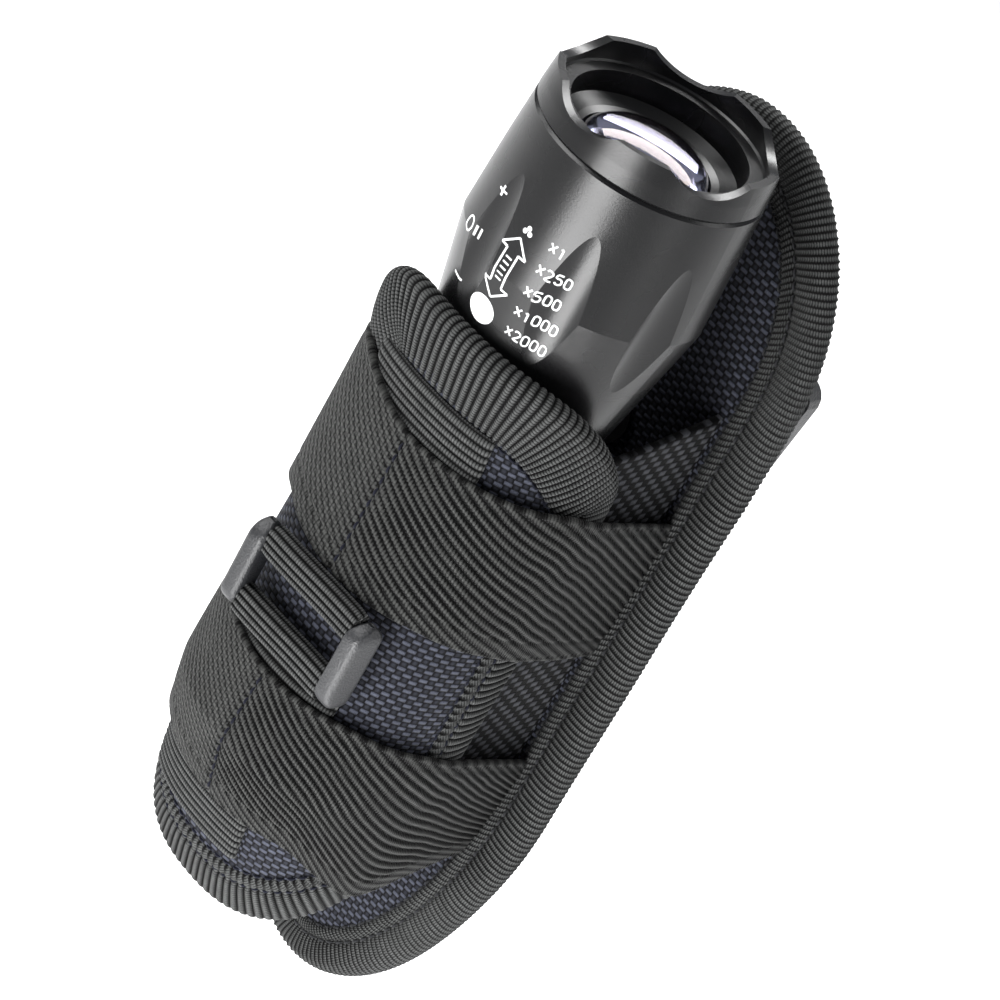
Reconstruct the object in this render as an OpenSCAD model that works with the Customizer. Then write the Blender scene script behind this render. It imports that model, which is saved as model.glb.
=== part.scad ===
// Zoomable hand torch carried head-up in a belt holster with a swivelling clip.
// The torch axis is upright. Shapes are drawn from the bezel rim (z = 0) downwards, and
// moved at the end so that the origin is the middle of the belt slot.

/* [Torch head] */
// Outer radius of the crown at its rim
rim_r = 18.5; // [17.5:0.1:18.8]
// Outer radius of the head where it meets the crown
head_top_r = 19.1; // [18.8:0.1:19.4]
// Outer radius of the head at its ridge
ridge_r = 20.6; // [20:0.1:20.8]
// Depth of the ridge below the rim
ridge_depth = 27.7; // [25:0.1:30]
// Number of leaf-shaped flutes across the ridge
flute_count = 8; // [6:1:10]
// Number of scallops in the crown
scallop_count = 5; // [4:1:8]
// How far the head slides forward to focus
zoom_travel = 13; // [8:1:13]

/* [Torch body] */
// Length of the closed torch, rim to tail
torch_len = 140; // [138:1:141]
// Outer radius of the grip
grip_r = 13.9; // [13.7:0.1:14.2]
// Outer radius of the tail cap
cap_r = 14.6; // [14.2:0.1:14.8]
// Radius of the lanyard hole in the tail cap
lanyard_r = 1.75; // [1.5:0.05:2]
// How far the tail button is pressed
button_travel = 1.5; // [1:0.1:1.6]

/* [Holster] */
// Half width of the back panel
panel_half_w = 29.6; // [28:0.1:31]
// Distance from the torch axis to the front face of the back panel
panel_y = 28.4; // [28:0.1:31]
// Thickness of the padded back panel
panel_t = 4; // [3:0.5:5]
// Width of the edge binding on the back panel
binding_w = 9.3; // [8:0.1:10]
// Half width of the front tongue
tongue_half_w = 22.8; // [22.5:0.1:24]
// Thickness of the front tongue
tongue_t = 2.8; // [2:0.1:3]
// Width of the webbing strap on the tongue
webbing_w = 25; // [20:1:25]

/* [Belt clip] */
// Half width of the clip
clip_half_w = 24; // [20:1:26]
// Thickness of the clip's plates
clip_t = 3; // [2.5:0.1:3.2]
// Gap for the belt
belt_gap = 5; // [4.6:0.1:6]
// Height of the clip
clip_h = 52; // [48:1:60]

/* [Hidden] */
$fn = 96;

// Torch levels, all below the rim
groove_z = -6.1;
cup_step_z = -3.6;
crown_t = 1.3;
scallop_depth = 2.3;
scallop_span = 44;
scallop_phase = -61;
flute_phase = -61;
well_r = 14.7;
spigot_r = 17;
spigot_z = -11.5;
lens_r = 13.8;
lens_edge_z = -9.4;
lens_base_z = -11;
lens_dome_r = 10.6;
lens_top_z = -4.7;
cavity_r = 15.2;
ridge_z = -ridge_depth;
taper = 10;
head_end_z = -57.2;
shoulder_z = -50;
neck_r = 13.6;
slide_fit = 0.08;
collar_r = 15.2;
collar_z = [-62.5, -57.5];
neck_top_z = -32;
stop_ring_z = shoulder_z + zoom_travel;
bore_r = 11;
thread_r = 12.6;
land_r = 13.2;
cap_top_z = -108.5;
land_end_z = -111.5;
thread_end_z = -118.2;
tail_z = -torch_len;
guard_r = 9;
guard_depth = 3.8;
floor_t = 1.8;
boot_r = 5.9;
boot_hole_r = 6.25;
boot_flange_r = 7.6;
boot_gap = button_travel + 0.3;
housing_r = 10.6;
ring_r = 11.4;
ring_z = [-120.4, -118.4];
cell_r = 9.25;
cell_z = [-112, -47];
sleeve_r = [9.5, 10.8];
floor_z = tail_z + guard_depth + floor_t;
housing_end_z = floor_z + 1 + boot_gap;
lanyard_y = 12;
lanyard_z = tail_z + 2.4;

// Holster levels and outlines
panel_arc_top = [-43.8, 40.2];
panel_arc_low = [-130.5, 61.5];
width_end_z = -200;
foot_z = -157.4;
foot_rise = 17.2;
tongue_round = 2.4;
tip_round = 2.4;
tongue_edge_y = 3;
lip_flare = 1.3;
width_taper_z = -120;
depth_taper_z = -122;
depth_slope = 0.246;
// Depth of the tongue's front face before the torch axis, by height
tongue_profile = [
    [-122, 23.6], [-105, 21.6], [-85, 19.8], [-68, 18.8], [-57, 18.6], [-45, 20.7], [-37, 22.2]
];
lip_z = -39;
lip_drop = 15.5;
anchor_profile = [[-157, 12.5], [-120, 19.5], [-60, 19.5]];
band_gap = [0.75, 1.82];
band_t = 1.2;
seam_y = panel_y - 0.35;
ring_mid = [0, -24, -95.5];
ring_half = [14.5, 2.7, 8.5];
ring_bar_w = 3.7;
ring_wire_r = 1.2;
fold_half_h = 3.1;
webbing_t = 1;
webbing_gap = 0.4;

// Swivel and clip, behind the panel
pivot_z = -62;
base_r = 17;
boss_r = 6;
panel_back_y = panel_y + panel_t;
base_y = [panel_back_y + 0.3, panel_back_y + 2.3];
plate_y = base_y[1] + 0.35;
leg_y = plate_y + clip_t + belt_gap;
clip_top_z = -39;
slot_z = clip_top_z - clip_h / 2;
slot_y = plate_y + clip_t + belt_gap / 2;

function lerp(a, b, t) = a + (b - a) * t;
function curve(t, n) = sign(t) * pow(abs(t), n);

// Half width and depth of the tongue at a height, drawn in by an inset
function tongue_w(z, inset) = let (t = max(0, (width_taper_z - z) / (width_taper_z - width_end_z - inset)))
    (tongue_half_w + lip_flare * max(0, (z + 57) / 20) - inset)
        * pow(max(0, 1 - pow(t, tip_round)), 1 / tip_round);
function tongue_d(z, inset) = lookup(z, tongue_profile) - inset - depth_slope * max(0, depth_taper_z - z);
function tongue_point(angle, z, inset) = [
    tongue_w(z, inset) * curve(sin(angle), 2 / tongue_round),
    lerp(tongue_edge_y, -tongue_d(z, inset), curve(cos(angle), 2 / tongue_round)),
    z
];
function lip_height(angle) = lip_z - lip_drop * pow(abs(angle) / 90, 3.4);
function foot_height(angle) = foot_z + foot_rise * pow(abs(angle) / 90, 2.1);

// Gap under a band: wide over the webbing in front, narrow at the sides
function gap_at(u) = lerp(band_gap[0], band_gap[1], pow(max(0, cos(90 * min(1, abs(u)))), 0.6));

// Point of a band that wraps the tongue and runs back to the panel; |u| > 1 is the straight run
function band_point(u, z, off) = abs(u) <= 1
    ? tongue_point(90 * u, z, -off)
    : let (t = (abs(u) - 1) * 2)
      [sign(u) * lerp(tongue_w(z, -off), lookup(z, anchor_profile) + off, t),
       lerp(tongue_edge_y, seam_y, t), z];

// Closed shell between two grids of points, the first one on the outside
module shell(outer, inner) {
    rows = len(outer);
    cols = len(outer[0]);
    size = rows * cols;
    function at(side, i, j) = side * size + i * cols + j;
    function quad(a, b, c, d) = [[a, b, c], [a, c, d]];
    points = concat([for (row = outer) each row], [for (row = inner) each row]);
    faces = concat(
        [for (i = [0 : rows - 2], j = [0 : cols - 2])
            each quad(at(0, i, j), at(0, i, j + 1), at(0, i + 1, j + 1), at(0, i + 1, j))],
        [for (i = [0 : rows - 2], j = [0 : cols - 2])
            each quad(at(1, i, j), at(1, i + 1, j), at(1, i + 1, j + 1), at(1, i, j + 1))],
        [for (j = [0 : cols - 2]) each quad(at(0, 0, j + 1), at(0, 0, j), at(1, 0, j), at(1, 0, j + 1))],
        [for (j = [0 : cols - 2]) each quad(
            at(0, rows - 1, j), at(0, rows - 1, j + 1), at(1, rows - 1, j + 1), at(1, rows - 1, j))],
        [for (i = [0 : rows - 2]) each quad(at(0, i, 0), at(0, i + 1, 0), at(1, i + 1, 0), at(1, i, 0))],
        [for (i = [0 : rows - 2]) each quad(
            at(0, i + 1, cols - 1), at(0, i, cols - 1), at(1, i, cols - 1), at(1, i + 1, cols - 1))]
    );
    polyhedron(points, faces, convexity = 8);
}

// Conical coil of round wire from z0 up to z1
module coil(z0, z1, r0, r1, turns, wire_r) {
    sides = 6;
    steps = turns * 15;
    points = [for (i = [0 : steps], k = [0 : sides - 1]) let (
            t = i / steps, a = 360 * turns * t, r = lerp(r0, r1, t) + wire_r * cos(60 * k))
        [r * cos(a), r * sin(a), lerp(z0 + wire_r, z1 - wire_r, t) + wire_r * sin(60 * k)]];
    function at(i, k) = i * sides + k % sides;
    faces = concat(
        [for (i = [0 : steps - 1], k = [0 : sides - 1]) each [
            [at(i, k), at(i, k + 1), at(i + 1, k + 1)], [at(i, k), at(i + 1, k + 1), at(i + 1, k)]]],
        [[for (k = [sides - 1 : -1 : 0]) at(0, k)]],
        [[for (k = [0 : sides - 1]) at(steps, k)]]
    );
    polyhedron(points, faces, convexity = 8);
}

// Ring between two radii and two heights
module tube(r_out, r_in, z_low, z_high) {
    translate([0, 0, z_low])
        difference() {
            cylinder(h = z_high - z_low, r = r_out);
            translate([0, 0, -1]) cylinder(h = z_high - z_low + 2, r = r_in);
        }
}

module disc(r, z_low, z_high) {
    translate([0, 0, z_low]) cylinder(h = z_high - z_low, r = r);
}

module o_ring(mid_r, z, wire_r) {
    translate([0, 0, z]) rotate_extrude() translate([mid_r, 0]) circle(r = wire_r, $fn = 24);
}

// Round piece lying along Y between two depths, at the swivel axis
module along_y(r, y_low, y_high) {
    translate([0, y_low, pivot_z]) rotate([-90, 0, 0]) cylinder(h = y_high - y_low, r = r);
}

// ---- Torch head ----

module bezel_ring() color([0.07, 0.07, 0.075]) {
    half_span = rim_r * sin(scallop_span / 2);
    cutter_r = (half_span * half_span + scallop_depth * scallop_depth) / (2 * scallop_depth);
    difference() {
        rotate_extrude() polygon([
            [well_r, cup_step_z], [rim_r - crown_t - 0.3, cup_step_z], [rim_r - crown_t, cup_step_z + 0.3],
            [rim_r - crown_t, 0], [rim_r, 0], [rim_r + 0.35, -3], [head_top_r, groove_z + 0.45],
            [head_top_r - 0.4, groove_z], [spigot_r, groove_z], [spigot_r, spigot_z], [well_r, spigot_z]
        ]);
        for (i = [0 : scallop_count - 1])
            rotate([0, 0, scallop_phase + (i + 0.5) * 360 / scallop_count])
                translate([rim_r - 4, 0, cutter_r - scallop_depth])
                    rotate([0, 90, 0]) cylinder(h = 8, r = cutter_r);
    }
}

module lens_retainer() color([0.05, 0.05, 0.055])
    rotate_extrude() polygon([
        [lens_dome_r + 0.3, lens_edge_z + 0.1], [lens_dome_r + 0.3, -8.6], [12, -8.1], [12, -8.5], [12.7, -8],
        [12.7, -8.4], [13.4, -7.9], [13.4, -8.3], [well_r - 0.05, -7.4], [well_r - 0.05, lens_edge_z + 0.1]
    ]);

module lens() color([0.75, 0.78, 0.95, 0.5]) {
    dome_h = lens_top_z - lens_edge_z;
    dome_r = (lens_dome_r * lens_dome_r + dome_h * dome_h) / (2 * dome_h);
    arc = asin(lens_dome_r / dome_r);
    rotate_extrude() polygon(concat(
        [[0, lens_base_z], [lens_r, lens_base_z], [lens_r, lens_edge_z]],
        [for (a = [arc : -arc / 14 : 0.01]) [dome_r * sin(a), lens_top_z - dome_r * (1 - cos(a))]],
        [[0, lens_top_z]]
    ));
}

module lens_o_ring() color([0.03, 0.03, 0.03]) o_ring(mid_r = 14.3, z = -12.1, wire_r = 0.55);

module head_sleeve() color([0.08, 0.08, 0.085]) {
    end_r = ridge_r - (ridge_z - head_end_z) * tan(taper);
    leaf_top_z = -14;
    leaf_low_z = -39;
    leaf_r = 7.1;
    leaf_depth = 1.5;
    leaf_tilt = 2.3;
    difference() {
        rotate_extrude() polygon([
            [head_top_r - 0.4, groove_z - 0.05], [head_top_r, groove_z - 0.5], [ridge_r, ridge_z],
            [end_r, head_end_z + 0.8], [end_r - 0.6, head_end_z], [neck_r + slide_fit, head_end_z],
            [neck_r + slide_fit, shoulder_z], [cavity_r, shoulder_z], [cavity_r, -18], [14, -16],
            [14, -12.7], [14.9, -12.7], [14.9, spigot_z - 0.1], [spigot_r + 0.05, spigot_z - 0.1],
            [spigot_r + 0.05, groove_z - 0.05]
        ]);
        for (i = [0 : flute_count - 1])
            rotate([0, 0, flute_phase + i * 360 / flute_count])
                translate([ridge_r - leaf_depth + leaf_r, 0, ridge_z])
                    rotate([0, leaf_tilt, 0])
                        translate([0, 0, leaf_low_z]) cylinder(h = -2 * leaf_low_z, r = leaf_r);
    }
}

// ---- Torch body ----

module body_tube() color([0.09, 0.09, 0.095]) {
    rib_pitch = 6;
    rib_count = 7;
    slot_count = 18;
    grip_low_z = -107;
    difference() {
        rotate_extrude() polygon([
            [bore_r, neck_top_z], [neck_r - 0.3, neck_top_z], [neck_r, neck_top_z - 0.3],
            [neck_r, collar_z[1]], [collar_r, collar_z[1]], [collar_r, collar_z[0]],
            [grip_r, collar_z[0] - 1.2], [grip_r, grip_low_z], [grip_r - 0.5, cap_top_z + 0.3],
            [land_r, cap_top_z + 0.3], [land_r, land_end_z], [thread_r, land_end_z],
            [thread_r, thread_end_z], [bore_r, thread_end_z]
        ]);
        tube(neck_r + 1, neck_r - 0.45, stop_ring_z, stop_ring_z + 1.4);
        for (z = [stop_ring_z - 4.5, shoulder_z - 2.5]) tube(neck_r + 1, neck_r - 0.9, z - 0.6, z + 0.6);
        tube(land_r + 1, land_r - 1.2, cap_top_z - 2.3, cap_top_z - 0.9);
        for (i = [0 : rib_count - 1])
            tube(grip_r + 1, grip_r - 0.7, -68 - i * rib_pitch, -66.8 - i * rib_pitch);
        for (i = [0 : slot_count - 1])
            rotate([0, 0, i * 360 / slot_count])
                translate([grip_r - 0.6, -0.6, -104]) cube([2, 1.2, 36]);
    }
}

module neck_stop_ring() color([0.6, 0.6, 0.62])
    difference() {
        tube(cavity_r - 0.3, neck_r - 0.45, stop_ring_z + 0.1, stop_ring_z + 1.3);
        translate([neck_r - 2, -1.5, stop_ring_z - 1]) cube([5, 3, 4]);
    }

module neck_o_rings() color([0.03, 0.03, 0.03])
    for (z = [stop_ring_z - 4.5, shoulder_z - 2.5]) o_ring(mid_r = neck_r - 0.43, z = z, wire_r = 0.45);

module body_o_ring() color([0.03, 0.03, 0.03])
    o_ring(mid_r = land_r - 0.51, z = cap_top_z - 1.6, wire_r = 0.65);

module led_pill() color([0.72, 0.58, 0.3])
    difference() {
        union() {
            disc(bore_r - 0.02, neck_top_z - 10, neck_top_z);
            disc(12.9, neck_top_z, neck_top_z + 2);
        }
        disc(9.6, neck_top_z - 11, neck_top_z - 4);
        for (x = [-4, 4]) translate([x, 0, neck_top_z - 5]) cylinder(h = 8, r = 0.9);
    }

module led_board() color([0.9, 0.9, 0.88])
    difference() {
        disc(8, neck_top_z + 2, neck_top_z + 3.6);
        for (a = [0 : 60 : 300]) rotate([0, 0, a]) translate([8, 0, neck_top_z]) cylinder(h = 5, r = 1.3);
    }

module led_emitter() color([0.95, 0.85, 0.3]) {
    base_z = neck_top_z + 3.6;
    chip = 5;
    translate([-chip / 2, -chip / 2, base_z]) cube([chip, chip, 0.8]);
    translate([0, 0, base_z + 0.8]) intersection() {
        sphere(r = 2.2, $fn = 48);
        translate([-3, -3, 0]) cube(6);
    }
}

module driver_board() color([0.1, 0.35, 0.2]) {
    disc(9.5, neck_top_z - 9.6, neck_top_z - 8.4);
    translate([-3, -2.5, neck_top_z - 8.4]) cube([6, 5, 2]);
}

module driver_spring() color([0.8, 0.75, 0.5])
    coil(z0 = -45.4, z1 = neck_top_z - 9.6, r0 = 2.4, r1 = 4.6, turns = 3, wire_r = 0.4);

module battery_cell() color([0.15, 0.3, 0.6]) {
    disc(cell_r, cell_z[0], cell_z[1]);
    disc(3.2, cell_z[1], cell_z[1] + 1.5);
}

module battery_sleeve() color([0.85, 0.85, 0.85])
    tube(sleeve_r[1], sleeve_r[0], cell_z[0] + 0.5, cell_z[1] + 1);

// ---- Tail ----

module switch_housing() color([0.12, 0.12, 0.12])
    difference() {
        disc(housing_r, housing_end_z, ring_z[0]);
        disc(3.06, housing_end_z - 1, housing_end_z + 6);
    }

module switch_retaining_ring() color([0.75, 0.62, 0.35])
    difference() {
        tube(ring_r, 7, ring_z[0], ring_z[1]);
        for (a = [0, 180]) rotate([0, 0, a]) translate([9, -1, ring_z[0] + 1]) cube([4, 2, 3]);
    }

module tail_spring() color([0.8, 0.75, 0.5])
    coil(z0 = ring_z[0], z1 = cell_z[0] - 0.1, r0 = 6.2, r1 = 4, turns = 4, wire_r = 0.45);

module tail_cap() color([0.08, 0.08, 0.085]) {
    groove_count = 16;
    groove_r = 1.6;
    difference() {
        rotate_extrude() polygon([
            [land_r + 0.25, cap_top_z], [cap_r - 0.5, cap_top_z], [cap_r, cap_top_z - 0.5],
            [cap_r, tail_z + 1],
            [cap_r - 1, tail_z], [guard_r + 0.5, tail_z], [guard_r, tail_z + 0.5],
            [guard_r, tail_z + guard_depth], [boot_hole_r, tail_z + guard_depth], [boot_hole_r, floor_z],
            [housing_r + slide_fit, floor_z], [housing_r + slide_fit, ring_z[0] - 0.05],
            [ring_r + slide_fit, ring_z[0] - 0.05], [ring_r + slide_fit, thread_end_z - 0.1],
            [thread_r + 0.07, thread_end_z - 0.1], [thread_r + 0.07, land_end_z - 0.05],
            [land_r + 0.25, land_end_z - 0.05]
        ]);
        for (i = [0 : groove_count - 1])
            rotate([0, 0, (i + 0.5) * 360 / groove_count])
                translate([cap_r + groove_r - 0.7, 0, tail_z + 8]) cylinder(h = 16, r = groove_r);
        translate([-20, lanyard_y, lanyard_z]) rotate([0, 90, 0]) cylinder(h = 40, r = lanyard_r);
    }
}

module switch_boot() color([0.04, 0.04, 0.04])
    rotate_extrude() polygon([
        [0, tail_z + 1.2], [boot_r - 2, tail_z + 1.4], [boot_r - 0.5, tail_z + 2.2], [boot_r, tail_z + 3.2],
        [boot_r, floor_z + 0.05], [boot_flange_r, floor_z + 0.05], [boot_flange_r, floor_z + 0.95],
        [4.6, floor_z + 0.95], [4.6, tail_z + 3.6], [3.8, tail_z + 2.8], [0, tail_z + 2.6]
    ]);

module switch_plunger() color([0.85, 0.3, 0.2]) {
    disc(3.6, tail_z + 2.9, tail_z + 4);
    disc(3, tail_z + 4, housing_end_z + 3.5);
}

// ---- Holster back ----

// Outline of the back panel drawn in by an inset, as points in X and Z
function panel_outline(inset) = let (w = panel_half_w - inset) concat(
    [for (a = [0 : 6 : 180]) [w * cos(a), panel_arc_top[0] + (panel_arc_top[1] - inset) * sin(a)]],
    [for (a = [180 : 6 : 360]) [w * cos(a), panel_arc_low[0] + (panel_arc_low[1] - inset) * sin(a)]]
);

module panel_plate(inset, y_low, y_high)
    translate([0, y_high, 0]) rotate([90, 0, 0])
        linear_extrude(height = y_high - y_low) polygon(panel_outline(inset));

module back_panel() color([0.07, 0.08, 0.11])
    difference() {
        panel_plate(binding_w, panel_y, panel_back_y);
        along_y(2.55, panel_y - 1, panel_back_y + 1);
    }

module back_binding() color([0.06, 0.06, 0.06])
    difference() {
        panel_plate(0, panel_y - 0.3, panel_back_y + 0.25);
        panel_plate(binding_w, panel_y - 1, panel_back_y + 1);
    }

// Side wall of the pouch, from inside the tongue back to the panel
module gusset(side) {
    top_z = [-55, -49.5];
    low_z = [-138.5, -150];
    steps = 20;
    front_y = 0;
    wall_t = 1.2;
    tongue_gap = 0.8;
    function wall(inset) = [for (i = [0 : steps]) [for (j = [0 : 3]) let (
            t = j / 3, z = lerp(lerp(top_z[0], top_z[1], t), lerp(low_z[0], low_z[1], t), i / steps))
        [side * lerp(
            tongue_w(z, 0) - tongue_t - tongue_gap - inset, lookup(z, anchor_profile) - 0.6 - inset, t),
         lerp(front_y, seam_y, t), z]]];
    if (side > 0) shell(wall(0), wall(wall_t)); else shell(wall(wall_t), wall(0));
}

module gusset_left() color([0.07, 0.08, 0.11]) gusset(-1);
module gusset_right() color([0.07, 0.08, 0.11]) gusset(1);

// ---- Holster front ----

// Stretch of the tongue's skin between two angles and two insets
module tongue_skin(angles, steps, inset_out, inset_in) {
    rows = 26;
    function grid(inset) = [for (i = [0 : rows]) [for (j = [0 : steps]) let (
            a = lerp(angles[0], angles[1], j / steps))
        tongue_point(a, lerp(lip_height(a), foot_height(a), i / rows), inset)]];
    shell(grid(inset_out), grid(inset_in));
}

module front_tongue() color([0.07, 0.08, 0.11]) tongue_skin([-80, 80], 20, 0, tongue_t);

// Bound edge of the tongue: one strip along each side edge
module tongue_binding() color([0.06, 0.06, 0.06])
    for (side = [-1, 1])
        tongue_skin(side > 0 ? [80.2, 90] : [-90, -80.2], 3, -0.4, tongue_t + 0.4);

// Strap lying on the tongue between two heights
module webbing(high_z, low_z) {
    rows = 10;
    cols = 12;
    function grid(off) = [for (i = [0 : rows]) [for (j = [0 : cols]) let (
            x = lerp(-webbing_w / 2, webbing_w / 2, j / cols), z = lerp(high_z, low_z, i / rows),
            a = asin(curve(x / tongue_w(z, -off), tongue_round / 2)))
        [x, tongue_point(a, z, -off)[1], z]]];
    shell(grid(webbing_gap + webbing_t), grid(webbing_gap));
}

// Strap end folded round one of the ring's wires
module webbing_fold(wire_z)
    translate([-webbing_w / 2 + 1.7, ring_mid[1], wire_z]) rotate([0, 90, 0])
        difference() {
            translate([-fold_half_h, -ring_half[1] + 0.5, 0])
                cube([2 * fold_half_h, 2 * ring_half[1] - 1, webbing_w - 3.4]);
            translate([0, 0, -1]) cylinder(h = webbing_w, r = ring_wire_r + 0.02);
        }

module webbing_upper() color([0.06, 0.06, 0.06]) {
    webbing(-50.8, -86);
    webbing_fold(ring_mid[2] + 6.2);
}

module webbing_lower() color([0.06, 0.06, 0.06]) {
    webbing(-105.5, -144.5);
    webbing_fold(ring_mid[2] - 6);
}

module webbing_ring() color([0.11, 0.11, 0.115]) {
    bar_x = ring_half[0] - ring_bar_w / 2;
    for (side = [-1, 1])
        translate([side * bar_x, ring_mid[1], ring_mid[2]])
            intersection() {
                cube([ring_bar_w, 2 * ring_half[1], 2 * ring_half[2]], center = true);
                rotate([0, 90, 0]) translate([0, 5.2, 0]) cylinder(h = 10, r = 9.6, center = true);
            }
    for (z = [-6, 6.2])
        translate([-bar_x, ring_mid[1], ring_mid[2] + z]) rotate([0, 90, 0])
            cylinder(h = 2 * bar_x, r = ring_wire_r);
}

// Elastic band round the tongue, between two edges given as heights along the band
module band(top, low) {
    rows = 5;
    cols = 32;
    function grid(off) = [for (i = [0 : rows]) [for (j = [0 : cols]) let (
            u = lerp(-1.5, 1.5, j / cols), z = lerp(lookup(u, top), lookup(u, low), i / rows))
        band_point(u, z, gap_at(u) + off)]];
    shell(grid(band_t), grid(0));
}

module upper_elastic() color([0.05, 0.05, 0.05]) band(
    top = [[-1.5, -66], [-1, -59], [-0.4, -55], [0, -59.8], [0.4, -59.2], [0.8, -59], [1, -61.6],
        [1.5, -69.5]],
    low = [[-1.5, -96], [-1, -90], [-0.4, -84], [0, -85.9], [0.4, -85.5], [0.8, -87.2], [1, -89.6],
        [1.5, -97.5]]
);
module lower_elastic() color([0.05, 0.05, 0.05]) band(
    top = [[-1.5, -122], [-1, -112], [-0.4, -106], [0, -108.5], [0.4, -107.6], [0.8, -110], [1, -113.2],
        [1.5, -123]],
    low = [[-1.5, -145], [-1, -138], [-0.4, -132.5], [0, -135], [0.4, -133.6], [0.8, -142.2], [1, -141],
        [1.5, -145.5]]
);

// Sling under the pouch, from behind the foot of the tongue back to the panel
module bottom_strap() color([0.05, 0.05, 0.05])
    translate([-12, 0, 0]) rotate([90, 0, 90])
        linear_extrude(height = 24) polygon([
            [-10.5, -150.6], [-10.5, -152], [8, -155.9], [seam_y, -159.7], [seam_y, -158.3], [8, -154.5]
        ]);

// ---- Swivel and clip ----

module swivel_base() color([0.1, 0.1, 0.1])
    difference() {
        union() {
            along_y(base_r, base_y[0], base_y[1]);
            along_y(boss_r, base_y[1], plate_y + 1.8);
        }
        along_y(2.55, base_y[0] - 1, plate_y + 3);
    }

module swivel_washer() color([0.6, 0.6, 0.62])
    difference() {
        along_y(9.5, base_y[1] + 0.03, base_y[1] + 0.28);
        along_y(6.3, base_y[1] - 1, base_y[1] + 1);
    }

module swivel_rivet() color([0.55, 0.55, 0.57]) {
    along_y(8.6, plate_y + 1.85, plate_y + 2.9);
    along_y(2.5, panel_y - 0.1, plate_y + 1.85);
    along_y(6, panel_y - 1.1, panel_y - 0.1);
}

// Points of a quarter circle in the clip's outline
function corner(x, z, a0, r) = [for (a = [a0 : 15 : a0 + 90]) [x + r * cos(a), z + r * sin(a)]];

// Side view of the clip: plate, bend, springy leg and its hooked foot
module clip_profile(foot_z) {
    bend_r = belt_gap / 2;
    bend_y = plate_y + clip_t + bend_r;
    bend_z = clip_top_z - bend_r - clip_t;
    function arc(r) = [for (a = [0 : 12 : 180]) [bend_y - r * cos(a), bend_z + r * sin(a)]];
    polygon(concat(
        [[plate_y + clip_t, foot_z + 4], [plate_y, foot_z + 4]],
        arc(bend_r + clip_t),
        [[leg_y + clip_t, foot_z + 2], [leg_y + clip_t - 1.5, foot_z], [leg_y - 2, foot_z],
         [leg_y - 2.5, foot_z + 1.5], [leg_y - 2, foot_z + 3], [leg_y, foot_z + 5]],
        [for (a = [180 : -12 : 0]) [bend_y - bend_r * cos(a), bend_z + bend_r * sin(a)]]
    ));
}

module belt_clip() {
    foot_z = clip_top_z - clip_h;
    corner_r = 6;
    low_half_w = clip_half_w - 4;
    outline = concat(
        corner(clip_half_w - corner_r, clip_top_z - corner_r, 0, corner_r),
        corner(corner_r - clip_half_w, clip_top_z - corner_r, 90, corner_r),
        corner(corner_r - low_half_w, foot_z + corner_r, 180, corner_r),
        corner(low_half_w - corner_r, foot_z + corner_r, 270, corner_r)
    );
    color([0.09, 0.09, 0.095]) difference() {
        intersection() {
            translate([-clip_half_w, 0, 0]) rotate([90, 0, 90])
                linear_extrude(height = 2 * clip_half_w) clip_profile(foot_z);
            translate([0, 70, 0]) rotate([90, 0, 0]) linear_extrude(height = 60) polygon(outline);
        }
        along_y(boss_r + 0.06, plate_y - 1, plate_y + clip_t + 1);
        along_y(9, plate_y + 1.7, plate_y + clip_t + 1);
    }
}

module placed() translate([0, -slot_y, -slot_z]) children();

placed() bezel_ring();
placed() lens_retainer();
placed() lens();
placed() lens_o_ring();
placed() head_sleeve();
placed() body_tube();
placed() neck_stop_ring();
placed() neck_o_rings();
placed() led_pill();
placed() led_board();
placed() led_emitter();
placed() driver_board();
placed() driver_spring();
placed() battery_cell();
placed() battery_sleeve();
placed() body_o_ring();
placed() switch_housing();
placed() switch_retaining_ring();
placed() tail_spring();
placed() tail_cap();
placed() switch_boot();
placed() switch_plunger();
placed() back_panel();
placed() back_binding();
placed() front_tongue();
placed() tongue_binding();
placed() gusset_left();
placed() gusset_right();
placed() upper_elastic();
placed() lower_elastic();
placed() webbing_upper();
placed() webbing_lower();
placed() webbing_ring();
placed() bottom_strap();
placed() swivel_base();
placed() swivel_washer();
placed() swivel_rivet();
placed() belt_clip();
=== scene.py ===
import math

import bmesh
import bpy
import numpy as np
from mathutils import Matrix, Vector
from mathutils.bvhtree import BVHTree


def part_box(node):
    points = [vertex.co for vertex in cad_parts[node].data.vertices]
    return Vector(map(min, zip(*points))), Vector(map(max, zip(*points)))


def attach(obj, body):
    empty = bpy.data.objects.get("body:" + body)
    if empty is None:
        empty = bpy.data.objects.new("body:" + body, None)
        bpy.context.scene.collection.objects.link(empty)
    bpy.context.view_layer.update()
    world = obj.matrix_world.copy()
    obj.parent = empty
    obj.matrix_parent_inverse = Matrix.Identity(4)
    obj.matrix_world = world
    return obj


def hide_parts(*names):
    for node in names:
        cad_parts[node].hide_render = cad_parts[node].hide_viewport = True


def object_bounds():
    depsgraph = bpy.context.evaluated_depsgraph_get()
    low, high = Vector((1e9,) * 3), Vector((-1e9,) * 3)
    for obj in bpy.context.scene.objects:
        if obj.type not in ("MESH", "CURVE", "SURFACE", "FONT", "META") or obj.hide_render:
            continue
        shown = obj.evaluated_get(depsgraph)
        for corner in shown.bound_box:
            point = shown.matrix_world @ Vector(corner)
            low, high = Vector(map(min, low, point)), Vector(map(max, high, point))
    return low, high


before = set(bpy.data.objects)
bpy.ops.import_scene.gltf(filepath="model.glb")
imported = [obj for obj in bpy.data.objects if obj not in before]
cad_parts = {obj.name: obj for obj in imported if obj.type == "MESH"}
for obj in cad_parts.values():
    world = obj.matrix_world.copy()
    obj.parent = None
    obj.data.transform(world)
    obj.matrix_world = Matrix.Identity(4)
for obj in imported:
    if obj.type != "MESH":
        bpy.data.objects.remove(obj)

cad_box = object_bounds()

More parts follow.
